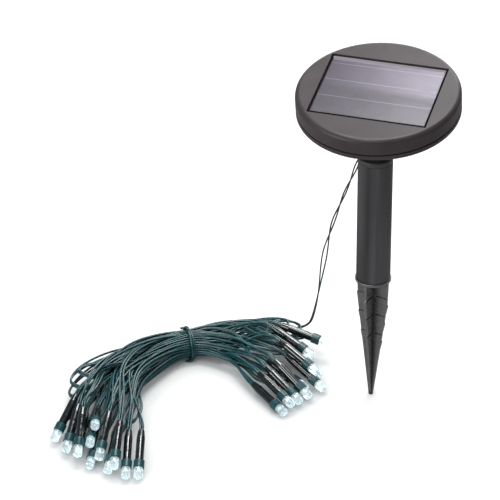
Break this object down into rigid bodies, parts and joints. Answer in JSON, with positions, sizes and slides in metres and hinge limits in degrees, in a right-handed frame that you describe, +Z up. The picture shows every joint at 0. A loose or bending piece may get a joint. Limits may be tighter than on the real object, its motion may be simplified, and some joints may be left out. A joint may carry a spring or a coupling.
{
  "type": "solar string lights",
  "caption": "Round solar head on a tilting ground stake, wired to a tied hank of string lights with capped lens LEDs.",
  "frame": {"origin": "tip of the ground spike, on the axis of the stake's tube", "axes": "+Z up along the tube, +Y towards the back of the head (its high side), +X along the panel's long side, away from the hank"},
  "size_m": [0.2215, 0.1807, 0.2163],
  "materials": {
    "clear_lens": "clear epoxy LED body, lit cool white",
    "teal_socket": "moulded, slightly translucent",
    "black_sleeve": "glossy shrink sleeve",
    "spike_plastic": "satin moulded",
    "tube_plastic": "satin extruded",
    "stem_plastic": "satin moulded",
    "washer_nylon": "natural nylon",
    "green_wire": "PVC insulation, satin dark green",
    "head_plastic": "satin moulded, dark warm grey",
    "seal_rubber": "matt",
    "steel_screws": "zinc plated",
    "silicon_cells": "polycrystalline cells on their board",
    "panel_cover": "clear cast cover",
    "battery_sleeve": "plain printed-sleeve can",
    "contact_metal": "nickel plated",
    "switch_plastic": "moulded",
    "board_laminate": "glass-epoxy laminate"
  },
  "bodies": {
    "stake": {"ground_spike": "spike_plastic", "stem_tube": "tube_plastic", "lead_cable": "green_wire", "wire_hank": "green_wire", "hank_tie": "green_wire", "led_lens_left_01": "clear_lens", "led_lens_left_02": "clear_lens", "led_lens_left_03": "clear_lens", "led_lens_left_04": "clear_lens", "led_lens_left_05": "clear_lens", "led_lens_left_06": "clear_lens", "led_lens_left_07": "clear_lens", "led_lens_left_08": "clear_lens", "led_lens_left_09": "clear_lens", "led_lens_left_10": "clear_lens", "led_lens_left_11": "clear_lens", "led_lens_left_12": "clear_lens", "led_lens_right_01": "clear_lens", "led_lens_right_02": "clear_lens", "led_lens_right_03": "clear_lens", "led_lens_right_04": "clear_lens", "led_lens_right_05": "clear_lens", "led_lens_right_06": "clear_lens", "led_lens_right_07": "clear_lens", "led_lens_right_08": "clear_lens", "led_lens_right_09": "clear_lens", "led_lens_right_10": "clear_lens", "led_lens_right_11": "clear_lens", "led_lens_right_12": "clear_lens", "led_sockets_left": "teal_socket", "led_sockets_right": "teal_socket", "led_sleeves_left": "black_sleeve", "led_sleeves_right": "black_sleeve"},
    "neck": {"stem_head": "stem_plastic", "friction_washers": "washer_nylon"},
    "head": {"head_base": "head_plastic", "head_seal": "seal_rubber", "head_top_cover": "head_plastic", "head_screws": "steel_screws", "panel_gasket": "seal_rubber", "solar_cell_board": "silicon_cells", "panel_glazing": "panel_cover", "battery_cell": "battery_sleeve", "battery_spring_contact": "contact_metal", "battery_plate_contact": "contact_metal", "battery_door": "head_plastic", "door_screw": "steel_screws", "switch_body": "switch_plastic", "circuit_board": "board_laminate", "cable_gland": "seal_rubber", "hinge_screw": "steel_screws", "hinge_nut": "steel_screws"},
    "slider": {"switch_slider": "switch_plastic"}
  },
  "joints": [
    {"name": "swivel", "type": "hinge", "parent": "stake", "child": "neck", "pos_m": [0, 0, 0.16], "axis": [0, 0, 1], "range_deg": [-90, 90], "deforming": ["lead_cable"]},
    {"name": "tilt", "type": "hinge", "parent": "neck", "child": "head", "pos_m": [0, 0, 0.1722], "axis": [1, 0, 0], "range_deg": [-34.6, 50.4], "deforming": ["lead_cable"]},
    {"name": "switch", "type": "slide", "parent": "head", "child": "slider", "axis": [1, 0, 0], "range_m": [0, 0.0025]}
  ]
}
